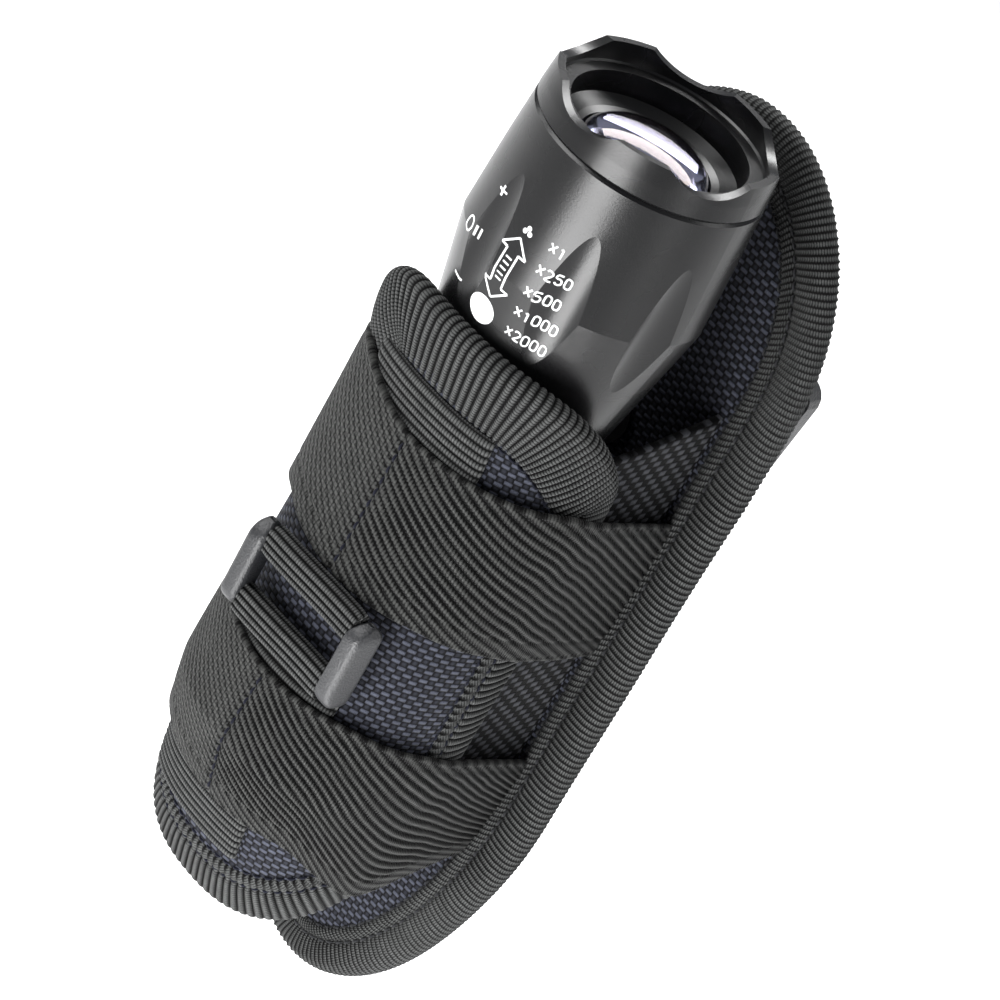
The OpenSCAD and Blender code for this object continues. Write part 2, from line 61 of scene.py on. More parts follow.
# Lengths below are millimetres in the torch's own frame: its axis is X = Y = 0, Z = 0 is the rim,
# and -Y is the front
low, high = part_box("bezel_ring")
AXIS_Y = (low.y + high.y) / 2
RIM_Z = high.z


def to_row(points):
    """Points of the torch's frame in the part's own frame, in metres."""
    return np.asarray(points, float) / 1000 + np.array([0, AXIS_Y, RIM_Z])


# ---- Camera and light ----

VIEW_AZIMUTH, VIEW_ELEVATION, VIEW_ROLL = 29, 31.16, 30
VIEW_TARGET = (7.66, 0, -70.03)
VIEW_DISTANCE = 0.55
VIEW_LENS, SENSOR_WIDTH = 127.3, 36
LIT_POINT = (0, 0, -70)


def direction(azimuth, elevation):
    """Unit vector from the object towards an azimuth and an elevation in degrees."""
    a, e = math.radians(azimuth), math.radians(elevation)
    return Vector((math.sin(a) * math.cos(e), -math.cos(a) * math.cos(e), math.sin(e)))


def look_camera():
    azimuth, roll = math.radians(VIEW_AZIMUTH), math.radians(VIEW_ROLL)
    back = direction(VIEW_AZIMUTH, VIEW_ELEVATION)
    side = Vector((math.cos(azimuth), math.sin(azimuth), 0))
    up = back.cross(side)
    right = side * math.cos(roll) + up * math.sin(roll)
    top = up * math.cos(roll) - side * math.sin(roll)
    data = bpy.data.cameras.new("camera")
    data.lens, data.sensor_width = VIEW_LENS, SENSOR_WIDTH
    camera = bpy.data.objects.new("camera", data)
    matrix = Matrix((right, top, back)).transposed().to_4x4()
    matrix.translation = Vector(to_row(VIEW_TARGET)) + back * VIEW_DISTANCE
    camera.matrix_world = matrix
    bpy.context.collection.objects.link(camera)
    bpy.context.scene.camera = camera


def area_light(name, azimuth, elevation, distance, size, power):
    """Soft box that faces the object; distance and size are in metres, power in watts."""
    back = direction(azimuth, elevation)
    data = bpy.data.lights.new(name, "AREA")
    data.shape, data.size, data.size_y, data.energy = "RECTANGLE", size[0], size[1], power
    light = bpy.data.objects.new(name, data)
    light.location = Vector(to_row(LIT_POINT)) + back * distance
    light.rotation_euler = back.to_track_quat("Z", "Y").to_euler()
    bpy.context.collection.objects.link(light)


def light_world(colour, strength):
    world = bpy.data.worlds.new("studio")
    world.use_nodes = True
    background = world.node_tree.nodes["Background"]
    background.inputs["Color"].default_value = (*colour, 1)
    background.inputs["Strength"].default_value = strength
    bpy.context.scene.world = world


look_camera()
area_light("key", -50, 48, 0.9, (0.5, 0.5), 6.2)
area_light("right_strip", 80, 15, 0.8, (0.3, 0.7), 2.4)
area_light("left_strip", -85, 20, 0.8, (0.12, 0.6), 1.3)
area_light("rim_strip", 125, 25, 0.8, (0.3, 0.6), 1.6)
area_light("top", 205, 50, 0.7, (0.9, 0.17), 10)
# Low cards that the upright metal mirrors
area_light("front_card", 12, -14, 0.3, (0.16, 0.2), 1.8)
area_light("cone_card", 50, -51, 0.175, (0.1, 0.05), 0.2)
light_world((0.9, 0.93, 1), 0.2)
bpy.context.scene.view_settings.view_transform = "Standard"


# ---- Materials ----

class Net:
    """A procedural material under construction."""

    def __init__(self, name, roughness, **values):
        self.material = bpy.data.materials.new(name)
        self.material.use_nodes = True
        self.tree = self.material.node_tree
        self.shader = self.tree.nodes["Principled BSDF"]
        self.shader.inputs["Roughness"].default_value = roughness
        for key, value in values.items():
            self.shader.inputs[key.replace("_", " ").title().replace("Ior", "IOR")].default_value = value

    def node(self, kind, *inputs, **settings):
        """A node with its inputs in order, each a value or another node's socket."""
        made = self.tree.nodes.new(kind)
        for key, value in settings.items():
            setattr(made, key, value)
        for socket, value in zip(made.inputs, inputs):
            if isinstance(value, bpy.types.NodeSocket):
                self.tree.links.new(value, socket)
            else:
                socket.default_value = value
        return made

    def math(self, operation, a, b=0.0, c=0.0, clamp=False):
        return self.node("ShaderNodeMath", a, b, c, operation=operation, use_clamp=clamp).outputs[0]

    def times(self, a, b):
        return self.math("MULTIPLY", a, b)

    def over(self, a, b):
        return self.math("DIVIDE", a, b)

    def plus(self, a, b):
        return self.math("ADD", a, b)

    def minus(self, a, b):
        return self.math("SUBTRACT", a, b)

    def line(self, value, slope, start):
        """Start plus the value times a slope."""
        return self.math("MULTIPLY_ADD", value, slope, start)

    def mix(self, factor, a, b):
        """Colour between two colours."""
        made = self.node("ShaderNodeMix", factor, data_type="RGBA")
        made.inputs[6].default_value = (*a, 1)
        made.inputs[7].default_value = (*b, 1)
        return made.outputs[2]

    def uv(self):
        """The two directions of the map in millimetres."""
        split = self.node("ShaderNodeSeparateXYZ", self.node("ShaderNodeUVMap", uv_map="mm").outputs[0])
        return split.outputs[0], split.outputs[1]

    def noise(self, scale, detail, roughness=0.5):
        where = self.node("ShaderNodeTexCoord").outputs["Object"]
        made = self.node("ShaderNodeTexNoise", where)
        made.inputs["Scale"].default_value = scale
        made.inputs["Detail"].default_value = detail
        made.inputs["Roughness"].default_value = roughness
        return made.outputs[0]

    def colour(self, socket):
        self.tree.links.new(socket, self.shader.inputs["Base Color"])

    def rough(self, socket):
        self.tree.links.new(socket, self.shader.inputs["Roughness"])

    def bump(self, height, distance):
        made = self.node("ShaderNodeBump")
        made.inputs["Strength"].default_value = 1
        made.inputs["Distance"].default_value = distance
        self.tree.links.new(height, made.inputs["Height"])
        self.tree.links.new(made.outputs[0], self.shader.inputs["Normal"])

    def stretch(self, value, low, high):
        """0 at low and 1 at high, held beyond them."""
        made = self.node("ShaderNodeMapRange", value)
        made.inputs["From Min"].default_value = low
        made.inputs["From Max"].default_value = high
        return made.outputs[0]

    def weave(self, height, dark, light, low, high, fuzz_level, depth):
        """Colour and relief of a cloth from its height: painted shade darkens the grooves, a painted
        highlight lightens the crests unevenly, and the crests are slightly hairy.
        """
        fuzz = self.noise(5200, 2, 0.7)
        patchy = self.noise(420, 2, 0.6)
        # Colour from height: dark is painted shade in the grooves, light is the cloth's colour with a painted
        # highlight on the crests, varied at random
        crest_unevenness = self.times(self.line(fuzz, 1.3, 0.15), self.line(patchy, 0.8, 0.6))
        shade_to_highlight = self.math("MULTIPLY", self.stretch(height, low, high), crest_unevenness, clamp=True)
        self.colour(self.mix(shade_to_highlight, dark, light))
        self.bump(self.line(fuzz, fuzz_level, height), depth)

    def ridge(self, phase, power):
        """Height over a repeating ridge whose grooves lie at whole numbers."""
        wave = self.math("ABSOLUTE", self.math("SINE", self.times(phase, math.pi)))
        return self.math("POWER", wave, power)


def shades(tone, low, high):
    """A darker and a lighter version of one colour."""
    return tuple(low * t for t in tone), tuple(high * t for t in tone)


def metal_satin(name, tone, roughness, metallic, grain, level=0.5):
    net = Net(name, roughness, metallic=metallic, specular_ior_level=level)
    fleck = net.noise(3600, 3, 0.6)
    cloud = net.noise(60, 3)
    net.colour(net.mix(fleck, *shades(tone, 0.82, 1.2)))
    net.rough(net.line(cloud, 0.14, roughness - 0.07))
    net.bump(fleck, grain)
    return net.material


def plastic(name, tone, roughness, grain=0.00002):
    net = Net(name, roughness)
    speck = net.noise(2500, 2)
    cloud = net.noise(120, 3)
    net.colour(net.mix(cloud, *shades(tone, 0.8, 1.25)))
    net.rough(net.line(cloud, 0.16, roughness - 0.08))
    net.bump(speck, grain)
    return net.material


def fabric_net(name):
    return Net(name, 0.85, sheen_weight=0.04, sheen_roughness=0.4, specular_ior_level=0.12)


# Heights where the cloth's colour starts to lighten from the painted groove shade and where its painted crest
# highlight is lightest, share of fuzz, and relief in metres
CORD_LOOK = 0.41, 0.94, 0.32, 0.00022
PLAIN_LOOK = 0.25, 0.85, 0.2, 0.0003


def ribbed_cloth(name, dark, light, pitch, bead, across="u"):
    """Grosgrain: ridges at a pitch along one map direction, each built from beads along the other."""
    net = fabric_net(name)
    u, v = net.uv()
    if across == "v":
        u, v = v, u
    phase = net.over(u, pitch)
    row = net.math("FLOOR", phase)
    rib = net.ridge(phase, 0.7)
    step = net.line(row, 0.5, net.over(v, bead))
    bead_height = net.ridge(step, 0.8)
    height = net.times(rib, net.line(bead_height, 0.55, 0.45))
    net.weave(height, dark, light, *CORD_LOOK)
    return net.material


def ballistic_cloth(name, dark, light, pitch, flat, under):
    """Coarse plain weave of thick yarns: the yarn on top changes from cell to cell."""
    net = fabric_net(name)
    u, v = net.uv()
    a, b = net.over(u, pitch), net.over(v, pitch * flat)
    cell = net.plus(net.math("FLOOR", a), net.math("FLOOR", b))
    odd = net.math("MODULO", net.math("ABSOLUTE", cell), 2)
    across, along = net.ridge(a, 0.7), net.ridge(b, 0.7)
    weft = net.times(along, net.line(across, 0.35, 0.65))
    warp = net.times(net.times(across, net.line(along, 0.35, 0.65)), under)
    height = net.plus(net.times(weft, net.minus(1.0, odd)), net.times(warp, odd))
    net.weave(height, dark, light, *PLAIN_LOOK)
    return net.material


# The elastic's cords: their pitch, the tilt of their threads, and their rise for each millimetre round the
# pouch, in front and on the right side, with the stretch over which the one turns into the other
TWILL_PITCH = 1.52
TWILL_TILT = math.radians(30)
TWILL_STEP = TWILL_PITCH / math.cos(TWILL_TILT)
FRONT_LEAN, SIDE_LEAN = 0.6, 0.35
LEAN_FROM, LEAN_TO = 12.0, 38.0


def twill_cloth(name, dark, light):
    """Heavy elastic: slanting cords made of short twisted threads."""
    net = fabric_net(name)
    u, v = net.uv()
    # The cords lean less on the right side than in front
    lean = net.stretch(u, LEAN_FROM, LEAN_TO)
    past = net.math("MAXIMUM", net.minus(u, LEAN_TO), 0.0)
    beyond = net.line(net.times(lean, lean), (LEAN_TO - LEAN_FROM) / 2, past)
    slant = net.line(u, FRONT_LEAN, net.times(beyond, SIDE_LEAN - FRONT_LEAN))
    phase = net.over(net.plus(v, slant), TWILL_STEP)
    run = net.minus(net.times(u, math.cos(TWILL_TILT)), net.times(v, math.sin(TWILL_TILT)))
    cord = net.ridge(phase, 0.8)
    thread = net.ridge(net.line(phase, 1.2, net.over(run, 0.62)), 0.9)
    notch = net.times(net.minus(1.0, thread), net.minus(1.3, cord))
    twisted = net.minus(cord, net.times(notch, 1.15))
    # Left of the centre seam the cloth is slack and its cords hardly show
    plain = net.times(net.ridge(net.over(u, 0.9), 0.8), net.ridge(net.over(v, 0.8), 0.8))
    taut = net.stretch(u, -3.0, 7.0)
    loose = net.times(net.line(plain, 0.45, 0.3), net.minus(1.0, taut))
    height = net.plus(net.times(twisted, net.line(taut, 0.62, 0.3)), loose)
    net.weave(height, dark, light, *CORD_LOOK)
    return net.material


def thread_cloth(name, dark, light):
    net = fabric_net(name)
    fuzz = net.noise(6000, 3, 0.7)
    net.colour(net.mix(fuzz, dark, light))
    net.bump(fuzz, 0.00008)
    return net.material


# Pitch of the ribs on the tongue's tape, the panel's tape and the webbing, and dark and light of the cloths:
# the dark is painted shade for the grooves, the light the cloth's colour with a painted highlight for the
# crests
TAPE_PITCH = 1.5
BACK_PITCH = 1.2
WEB_PITCH = 1.42
BLACK = (0.0008, 0.0008, 0.0008), (0.076, 0.078, 0.077)
NAVY = (0.001, 0.001, 0.002), (0.05, 0.054, 0.072)
M_TAPE = ribbed_cloth("binding_tape", *BLACK, TAPE_PITCH, 0.46)
M_BACK_TAPE = ribbed_cloth("back_tape", *BLACK, BACK_PITCH, 0.46)
M_WEBBING = ribbed_cloth("strap_webbing", *BLACK, WEB_PITCH, 0.5, across="v")
M_LINING = ribbed_cloth("lining_cloth", (0.001, 0.001, 0.001), (0.018, 0.018, 0.02), 0.8, 0.8)
M_ELASTIC = twill_cloth("elastic_webbing", BLACK[0], (0.052, 0.053, 0.051))
M_NYLON = ballistic_cloth("ballistic_nylon", *NAVY, 1.4, 0.64, 0.42)
M_SIDE = ballistic_cloth("side_nylon", (0.0008, 0.0008, 0.001), (0.055, 0.057, 0.064), 1.7, 0.8, 0.06)
M_THREAD = thread_cloth("seam_thread", (0.006, 0.006, 0.007), (0.035, 0.036, 0.038))
M_NAVY_THREAD = thread_cloth("navy_thread", (0.0012, 0.0014, 0.003), (0.009, 0.01, 0.018))
M_ALUMINIUM = metal_satin("anodised_aluminium", (0.004, 0.004, 0.0043), 0.27, 0.0, 0.00002, 0.36)
M_RETAINER = metal_satin("black_retainer", (0.006, 0.006, 0.006), 0.32, 0.0, 0.00001, 0.3)
M_PLASTIC = plastic("moulded_plastic", (0.012, 0.0125, 0.014), 0.42, 0.00012)
M_RUBBER = plastic("boot_rubber", (0.02, 0.02, 0.02), 0.65)
M_PAINT = plastic("white_print", (0.75, 0.76, 0.76), 0.5, 0.00001)


def lens_material():
    net = Net("lens_glass", 0.02, transmission_weight=1.0, ior=1.49,
              thin_film_thickness=105.0, thin_film_ior=1.38)
    smear = net.noise(90, 3)
    net.rough(net.line(smear, 0.05, 0.02))
    net.colour(net.mix(smear, (0.58, 0.59, 0.84), (0.76, 0.77, 0.96)))
    return net.material


# ---- Mesh building ----

class Shape:
    """Collects point grids into one mesh, with a map in millimetres."""

    def __init__(self):
        self.points, self.faces, self.maps, self.count = [], [], [], 0

    def grid(self, P, uv=None, wrap_u=False, wrap_v=False, ends=False):
        """Quads over rows of points; wraps close a direction on itself, ends close the first and last row."""
        P = np.asarray(P, float)
        nu, nv = P.shape[:2]
        if uv is None:
            uv = np.stack(np.meshgrid(np.arange(nu + wrap_u), np.arange(nv + wrap_v), indexing="ij"), -1)
        across, along = np.arange(nu if wrap_u else nu - 1), np.arange(nv if wrap_v else nv - 1)
        i, j = np.meshgrid(across, along, indexing="ij")
        ni, nj = (i + 1) % nu, (j + 1) % nv
        quads = np.stack([i * nv + j, ni * nv + j, ni * nv + nj, i * nv + nj], -1).reshape(-1, 4)
        maps = np.stack([uv[i, j], uv[i + 1, j], uv[i + 1, j + 1], uv[i, j + 1]], 2).reshape(-1, 4, 2)
        if ends:
            k = np.arange(nv // 2 - 1)
            for row, turn in ((0, 1), (nu - 1, -1)):
                cap = np.stack([k, nv - 1 - k, nv - 2 - k, k + 1], -1)[:, ::turn]
                quads = np.concatenate([quads, cap + row * nv])
                maps = np.concatenate([maps, uv[row][cap]])
        flat = P.reshape(-1, 3)
        if ends or (wrap_u and wrap_v):
            a, b, c, d = (flat[quads[:, n]] for n in range(4))
            volume = np.einsum("ij,ij->", a, np.cross(b, c)) + np.einsum("ij,ij->", a, np.cross(c, d))
            if volume < 0:
                quads, maps = quads[:, ::-1], maps[:, ::-1]
        self.points.append(flat)
        self.faces.append(quads + self.count)
        self.maps.append(maps)
        self.count += len(flat)
        return self

    def tube(self, P, uv=None):
        """Rows of closed rings with both ends shut."""
        return self.grid(P, uv, wrap_v=True, ends=True)

    def shell(self, outer, inner, uv):
        """A sheet with thickness: two grids joined round their rims."""
        loop = np.concatenate([outer, inner[:, ::-1]], 1)
        maps = np.concatenate([uv, uv[:, ::-1], uv[:, :1]], 1)
        return self.tube(loop, maps)

    def make(self, name, material, body="holster", slot=None, nodes=(), sharp=None, weld=False):
        mesh = bpy.data.meshes.new(name)
        faces = np.concatenate(self.faces)
        mesh.from_pydata(to_row(np.concatenate(self.points)).tolist(), [], faces.tolist())
        layer = mesh.uv_layers.new(name="mm")
        layer.data.foreach_set("uv", np.concatenate(self.maps).reshape(-1).astype(np.float32))
        mesh.polygons.foreach_set("use_smooth", np.ones(len(faces), bool))
        mesh.materials.append(material)
        if weld:
            work = bmesh.new()
            work.from_mesh(mesh)
            bmesh.ops.remove_doubles(work, verts=work.verts, dist=1e-7)
            bmesh.ops.recalc_face_normals(work, faces=work.faces)
            work.to_mesh(mesh)
            work.free()
        if sharp:
            mesh.set_sharp_from_angle(angle=math.radians(sharp))
        mesh.validate()
        piece = bpy.data.objects.new(name, mesh)
        bpy.context.collection.objects.link(piece)
        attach(piece, body)
        if nodes:
            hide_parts(*nodes)
        return piece


def unit(v):
    return v / (np.linalg.norm(v, axis=-1, keepdims=True) + 1e-12)


def spread(*parts):
    """Coordinates that depend on rows or columns only, spread into one grid of points."""
    return np.stack(np.broadcast_arrays(*parts), -1)


def lerp(a, b, t):
    return a + (b - a) * t


def smooth(t):
    t = np.clip(t, 0, 1)
    return t * t * (3 - 2 * t)


def signed_power(v, p):
    return np.sign(v) * np.abs(v) ** p


def groove(distance, width):
    """1 on the line, fading out over about two widths."""
    return np.exp(-(np.asarray(distance) / width) ** 2)


def lengths(P, axis=0):
    """Distance run along one direction of a grid, starting at 0."""
    step = np.linalg.norm(np.diff(P, axis=axis), axis=-1)
    pad = [(0, 0)] * step.ndim
    pad[axis] = (1, 0)
    return np.pad(np.cumsum(step, axis=axis), pad)


def resample(path, count, closed=False):
    """Points at even spacing along a path, and the path's length."""
    if closed:
        path = np.vstack([path, path[:1]])
    run = lengths(path)
    at = np.linspace(0, run[-1], count, endpoint=not closed)
    return np.stack([np.interp(at, run, path[:, k]) for k in range(path.shape[1])], -1), run[-1]


def wander(a, b, seed):
    """Slow uneven swell, about -1 to 1."""
    rng = np.random.default_rng(seed)
    total = 0
    for k in range(5):
        fa, fb, shift = rng.uniform(0.03, 0.16), rng.uniform(0.03, 0.16), rng.uniform(0, 6.28)
        total = total + np.sin(fa * a + fb * b * (1 if k % 2 else -1) + shift)
    return total / 4


def stitches(shape, path, outward, pitch, length, radius):
    """Short raised threads along a path."""
    run = lengths(path)
    count = int(run[-1] / pitch)

    def spot(where, table):
        return np.stack([np.interp(where, run, table[:, k]) for k in range(3)], -1)

    t = np.linspace(-1, 1, 6)
    turn = np.linspace(0, 2 * math.pi, 6, endpoint=False)[None, :, None]
    wide = (radius * np.sqrt(1 - (0.97 * t) ** 2))[:, None, None]
    lift = (radius * (0.7 - 1.2 * t ** 2))[:, None]
    for where in (np.arange(count) + 0.5) * run[-1] / count:
        along = unit(spot(where + 0.2, path) - spot(where - 0.2, path))
        up = unit(spot(where, outward))
        ring = np.cos(turn) * np.cross(along, up) + np.sin(turn) * up
        middle = spot(where, path) + along * (t * length / 2)[:, None] + up * lift
        shape.tube(middle[:, None] + wide * ring)


# ---- Pouch surfaces ----

# Depth of the tongue's face in front of the axis, and half-width where the sides meet the panel, by height
TONGUE_PROFILE = np.array([
    [-122, 23.6], [-105, 21.6], [-85, 19.8], [-68, 18.8], [-57, 18.6], [-45, 20.7], [-37, 22.2]])
ANCHOR_PROFILE = np.array([[-157, 15.5], [-145, 18.6], [-122, 20.1], [-60, 20.1]])
# Power of the rounded outlines, and where the tongue's side edges and the panel's face lie
ROUND = 2.4
EDGE_Y, SEAM_Y = 3, 28.05
TONGUE_T, TONGUE_HALF = 2.8, 22.8
# The tongue tapers below TAPER_Z, towards a tip TIP_DROP lower, and flares above FLARE_Z
TAPER_Z, TIP_DROP = -120, 80
FLARE_Z = -57


def tongue_w(z, inset=0.0):
    """Half-width of the tongue's face."""
    t = np.clip((TAPER_Z - z) / (TIP_DROP - inset), 0, 0.999)
    widest = TONGUE_HALF + 1.3 * np.maximum(0, (z - FLARE_Z) / 20) - inset
    return widest * (1 - t ** ROUND) ** (1 / ROUND)


def tongue_d(z, inset=0.0):
    """Depth of the tongue's face."""
    return np.interp(z, *TONGUE_PROFILE.T) - inset - 0.246 * np.maximum(0, TONGUE_PROFILE[0, 0] - z)


def tongue_point(a, z, inset=0.0):
    """Point on the tongue's face; a runs from -1 at the left edge to 1 at the right."""
    a, z = np.broadcast_arrays(np.asarray(a, float), np.asarray(z, float))
    angle = a * math.pi / 2
    x = tongue_w(z, inset) * signed_power(np.sin(angle), 2 / ROUND)
    y = lerp(EDGE_Y, -tongue_d(z, inset), np.abs(np.cos(angle)) ** (2 / ROUND))
    return np.stack([x, y, z], -1)


def lip_height(a):
    """The tongue's upper edge, which drops further at its left corner."""
    return -40.6 - 15.5 * np.abs(a) ** 3.4 - 6.5 * smooth((-a - 0.25) / 0.42) * smooth((1.25 + a) / 0.4)


def foot_height(a):
    """The tongue's lower edge."""
    return -156.2 + 17.2 * np.abs(a) ** 2.1


def flare(P):
    """The lip's left end is pulled outwards."""
    shift = 2.7 * smooth((-P[..., 0] - 4) / 14) * smooth((P[..., 2] + 66) / 18)
    return P - np.stack([shift, 0 * shift, 0 * shift], -1)


def tongue_field(P):
    """Signed measure of how far points lie outside the tongue's face."""
    w = np.maximum(tongue_w(P[..., 2]), 0.3)
    d = np.maximum(tongue_d(P[..., 2]), 0.3) + EDGE_Y
    ahead = np.maximum(0, EDGE_Y - P[..., 1]) / d
    return ((np.abs(P[..., 0]) / w) ** ROUND + ahead ** ROUND + 1e-9) ** (1 / ROUND) - 1


def tongue_slope(P):
    """Direction in which that measure grows."""
    step = 0.02
    return np.stack([(tongue_field(P + step * e) - tongue_field(P - step * e)) / (2 * step)
                     for e in np.eye(3)], -1)


def onto_tongue(P):
    """The points moved onto the tongue's face."""
    for _ in range(4):
        grad = tongue_slope(P)
        move = tongue_field(P)[..., None] * grad / (np.sum(grad ** 2, -1, keepdims=True) + 1e-9)
        P = P - np.clip(move, -1, 1)
    return P


# ---- Back panel and its binding ----

# Front and back of the panel
PANEL_Y, PANEL_BACK_Y = 28.4, 32.4
PANEL_MID_Y = (PANEL_Y + PANEL_BACK_Y) / 2
PANEL_HALF = 29.6
# Heights where the panel's end arcs start, and how far they reach
ARC_TOP, ARC_LOW = (-43.8, 40.2), (-130.5, 61.5)
# Distances in from the panel's outline to the binding's seam and to its inner edge
BACK_SEAM, BACK_EDGE = 6.45, 9.3


def panel_border(count):
    """The panel's outline, as X and Z, and its length."""
    a = np.linspace(0, math.pi, 400)
    top = np.stack([PANEL_HALF * np.cos(a), ARC_TOP[0] + ARC_TOP[1] * np.sin(a)], -1)
    bottom = np.stack([-PANEL_HALF * np.cos(a), ARC_LOW[0] - ARC_LOW[1] * np.sin(a)], -1)
    return resample(np.vstack([top, bottom]), count, closed=True)


def edge_frame(border):
    """Inward directions for a closed outline that runs anticlockwise."""
    along = unit(np.roll(border, -1, 0) - np.roll(border, 1, 0))
    return np.stack([-along[:, 1], along[:, 0]], -1)


def back_tape_section():
    """Inset from the outline against Y, from the front's inner edge round to the back's."""
    c = np.concatenate([np.linspace(BACK_EDGE, 6.7, 7), [BACK_SEAM], np.linspace(6.15, 2.6, 8)])
    inner_strip = np.sin(np.clip((BACK_EDGE - c) / 2.6, 0, 1) * math.pi) * (c > 6.5)
    outer_strip = np.sin(np.clip((6.2 - c) / 4, 0, 1) * math.pi * 0.8) * (c < 6.4)
    y = 28.1 - 0.3 * (inner_strip + outer_strip)
    y = y + 0.45 * groove(c - BACK_SEAM, 0.3) + 0.5 * groove(c - BACK_EDGE - 0.05, 0.3)
    arc = np.linspace(0.25, math.pi - 0.25, 9)
    edge = np.stack([2.5 - 2.5 * np.sin(arc), PANEL_MID_Y - 2.3 * np.cos(arc)], -1)
    front = np.stack([c, y], -1)
    back = np.stack([c, 2 * PANEL_MID_Y - y], -1)[::-1]
    return np.vstack([front, edge, back])


def make_back_tape():
    """Ribbed binding folded over the panel's edge, with its seams."""
    _, total = panel_border(1000)
    ribs = round(total / BACK_PITCH)
    per = 5
    border, total = panel_border(ribs * per)
    inward = edge_frame(border)
    section = back_tape_section()
    out = np.gradient(section, axis=0)
    out = unit(np.stack([out[:, 1], -out[:, 0]], -1))
    inset = section[None, :, 0]
    rib = np.arange(ribs * per)[:, None] / per
    slant = np.maximum(inset - 6.4, 0) * 0.4
    phase = rib + slant + 0.12 * wander(rib * total / ribs, inset * 3, 3)
    ridge = np.abs(np.sin(math.pi * phase)) ** 0.6
    swell = 0.14 * wander(rib * total / ribs, inset * 4, 5)
    rise = np.where(inset < 2.4, 0.34, 0.6) * (ridge - 0.6) + swell
    c = inset + out[None, :, 0] * rise
    y = section[None, :, 1] + out[None, :, 1] * rise
    x, z = (border[:, k, None] + inward[:, k, None] * c for k in (0, 1))
    run = lengths(section)
    ribs_u = np.arange(ribs * per + 1)[:, None] / per + np.append(slant, slant[:, :1], 1)
    uv = spread(BACK_PITCH * ribs_u, np.append(run, run[-1] + 4)[None, :])
    tape = Shape().grid(spread(x, y, z), uv, wrap_u=True, wrap_v=True)
    tape.make("back_binding_tape", M_BACK_TAPE, slot="binding_tape", nodes=["back_binding"])
    seams = Shape()
    for side_y, sign in ((28.35, -1), (2 * PANEL_MID_Y - 28.35, 1)):
        for inset in (BACK_SEAM, BACK_EDGE - 0.1):
            x, z = (border[:, k] + inward[:, k] * inset for k in (0, 1))
            stitches(seams, spread(x, side_y, z), np.tile([0.0, sign, 0.0], (len(x), 1)), 2.1, 1.6, 0.26)
    seams.make("back_binding_stitches", M_THREAD, slot="binding_tape")


def make_back_panel():
    """Padded panel, crowned between its bound edges."""
    border, _ = panel_border(160)
    inward = edge_frame(border)
    # The rings start at the first inset, keep the outline's shape as far as parallel, and then close up
    first, parallel, reach = 7.8, 12, 17
    centre_z = -87.0
    layers = []
    for side in (-1, 1):
        sheet = []
        for inset in np.concatenate([[first], np.linspace(9, parallel + reach, 14)]):
            ring = border + inward * min(inset, parallel)
            squeeze = 1 - max(0, inset - parallel) / reach
            x = ring[:, 0] * squeeze
            z = centre_z + (ring[:, 1] - centre_z) * (0.25 + 0.75 * squeeze)
            puff = 0.35 * math.sin(min(1, (inset - first) / 9) * math.pi / 2)
            depth = 0.9 * math.exp(-((inset - first) / 0.9) ** 2)
            y = (PANEL_Y - puff * 0.6 + depth) if side < 0 else (PANEL_BACK_Y - 0.25 + puff * 0.5 - depth)
            sheet.append(spread(x, y + 0.12 * wander(x, z, 8), z))
        layers.append(np.array(sheet))
    front, back = layers
    loop = np.concatenate([front[::-1], back])
    uv = loop[..., [0, 2]]
    shape = Shape().grid(loop, np.concatenate([uv, uv[:, :1]], 1), wrap_v=True)
    return shape.make("back_panel_pad", M_NYLON, slot="ballistic_nylon", nodes=["back_panel"], weld=True)


# ---- Tongue ----

def tongue_border(count):
    """Closed edge of the tongue: up the right side, over the lip to the left, and down round the tip."""
    z = np.linspace(foot_height(1), lip_height(1), 300)
    right = np.stack([tongue_w(z), np.full_like(z, EDGE_Y), z], -1)
    a = np.linspace(1, -1, 400)
    lip = tongue_point(a, lip_height(a))
    foot = tongue_point(-a, foot_height(a))
    left = right[::-1] * [-1, 1, 1]
    path, _ = resample(np.vstack([right, lip[1:-1], left, foot[1:-1]]), 900, closed=True)
    # Its corners are rounded by a running average along the edge
    reach, taps = 10, 24
    kernel = np.exp(-(np.arange(-taps, taps + 1) / reach) ** 2)
    kernel /= kernel.sum()
    wrapped = np.vstack([path[-taps:], path, path[:taps]])
    path = np.stack([np.convolve(wrapped[:, k], kernel, "valid") for k in range(3)], -1)
    path = onto_tongue(path)
    return resample(path, count, closed=True)


def tongue_inward(border, widths, rows):
    """Rows of points running in over the tongue's face from its edge, and the face's normals there."""
    along = unit(np.roll(border, -3, 0) - np.roll(border, 3, 0))
    P = border.copy()
    points, normals = [P], [unit(tongue_slope(P))]
    for _ in range(rows):
        inward = unit(np.cross(normals[-1], along))
        P = onto_tongue(P + inward * (widths / rows)[:, None])
        points.append(P)
        normals.append(unit(tongue_slope(P)))
    return np.stack(points, 1), np.stack(normals, 1)


